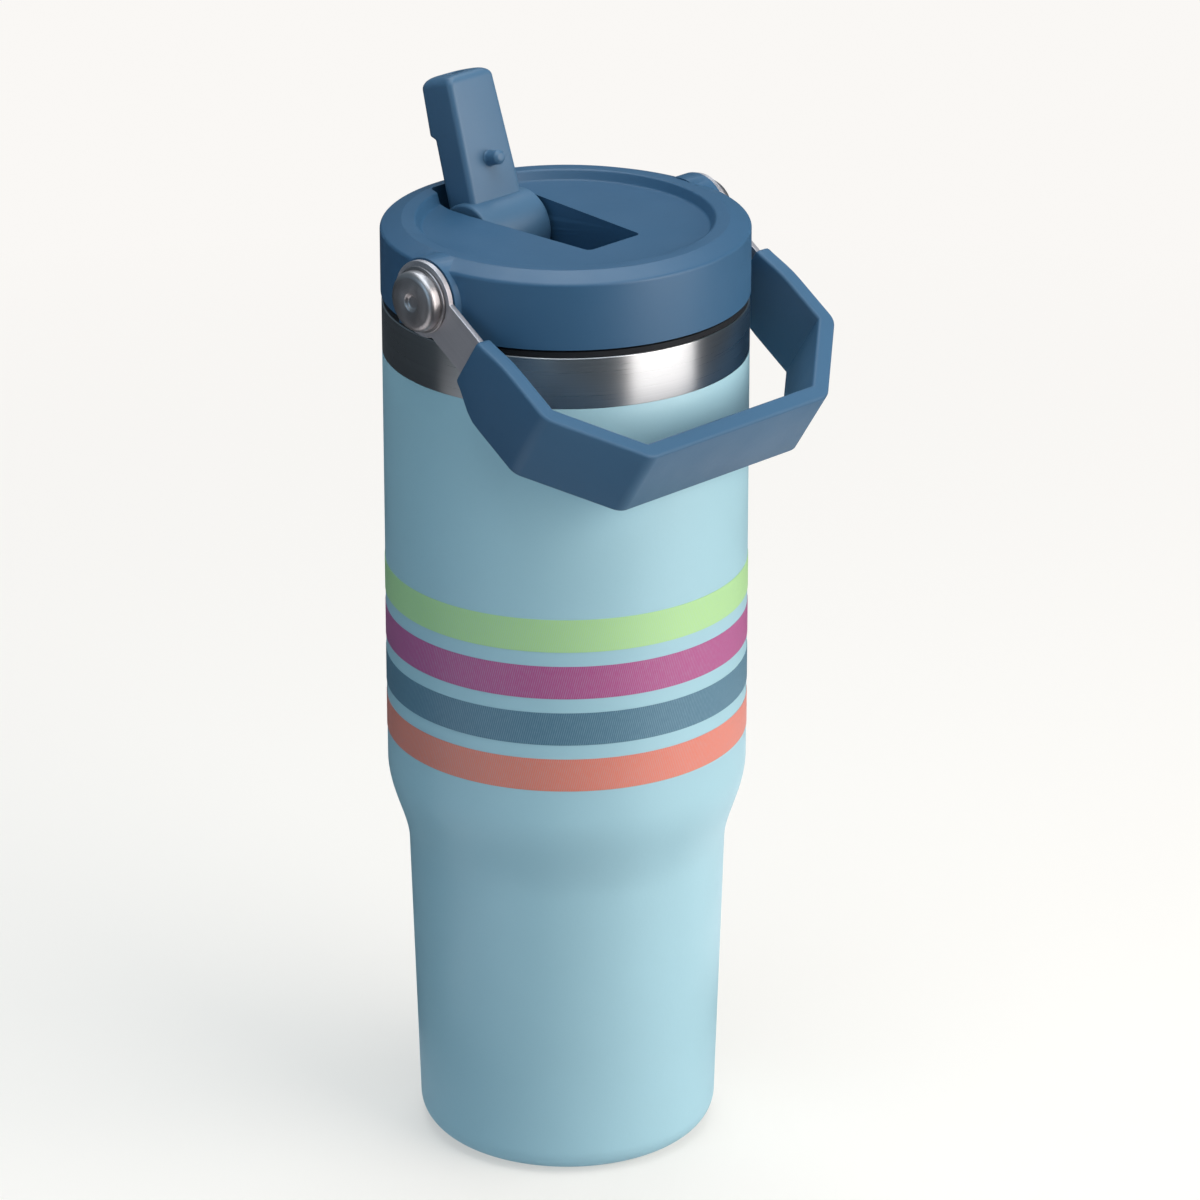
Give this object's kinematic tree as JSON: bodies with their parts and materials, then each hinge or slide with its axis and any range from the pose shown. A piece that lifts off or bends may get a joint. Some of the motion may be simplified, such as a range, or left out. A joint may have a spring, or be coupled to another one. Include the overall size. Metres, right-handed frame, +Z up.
{
  "type": "insulated tumbler",
  "caption": "Double-walled insulated steel tumbler with a screw lid, folding drinking spout with straw, and a swinging faceted carry handle.",
  "frame": {"origin": "centre of the flat underside, on the vessel's axis", "axes": "+Z up along the vessel's axis, +X along the hinge axes of the handle and the spout, -Y towards the side where the handle hangs at rest"},
  "size_m": [0.1024, 0.105, 0.2699],
  "materials": {
    "coat": "satin powder coat",
    "steel": "brushed",
    "inner_steel": "electropolished",
    "lid_plastic": "fine moulded texture",
    "silicone": "matt silicone",
    "straw_plastic": "translucent polypropylene",
    "ink_green": "satin print",
    "ink_magenta": "satin print",
    "ink_navy": "satin print",
    "ink_coral": "satin print",
    "brass": "turned",
    "getter_metal": "sintered"
  },
  "bodies": {
    "vessel": {"outer_shell": "coat", "neck_ring": "steel", "inner_liner": "inner_steel", "shell_bottom": "inner_steel", "base_disc": "steel", "vacuum_plug": "getter_metal", "getter": "getter_metal", "band_coral": "ink_coral", "band_navy": "ink_navy", "band_magenta": "ink_magenta", "band_green": "ink_green"},
    "gasket": {"lid_gasket": "silicone"},
    "lid": {"lid_cover": "lid_plastic", "lid_plug": "lid_plastic", "spout_pin": "steel", "spout_seal": "silicone", "vent_valve": "silicone", "straw": "straw_plastic", "pivot_insert_left": "brass", "pivot_insert_right": "brass", "pivot_washer_left": "steel", "pivot_washer_right": "steel", "pivot_bolt_left": "steel", "pivot_bolt_right": "steel"},
    "spout": {"spout": "lid_plastic", "vent_nub": "silicone"},
    "handle": {"handle_grip": "lid_plastic", "handle_strap_left": "steel", "handle_strap_right": "steel"}
  },
  "joints": [
    {"name": "lid_rise", "type": "slide", "parent": "vessel", "child": "gasket", "axis": [0, 0, 1], "range_m": [0, 0.0101]},
    {"name": "lid_turn", "type": "hinge", "parent": "gasket", "child": "lid", "pos_m": [0, 0, 0.2233], "axis": [0, 0, 1], "range_deg": [0, 450]},
    {"name": "spout_fold", "type": "hinge", "parent": "lid", "child": "spout", "pos_m": [0, 0.0244, 0.2315], "axis": [1, 0, 0], "range_deg": [0, 107.8]},
    {"name": "handle_swing", "type": "hinge", "parent": "lid", "child": "handle", "pos_m": [0, 0, 0.232], "axis": [-1, 0, 0], "range_deg": [0, 247]}
  ],
  "couplings": [
    {"joint": "lid_rise", "follows": "lid_turn", "m_per_rad": 0.0012732}
  ]
}
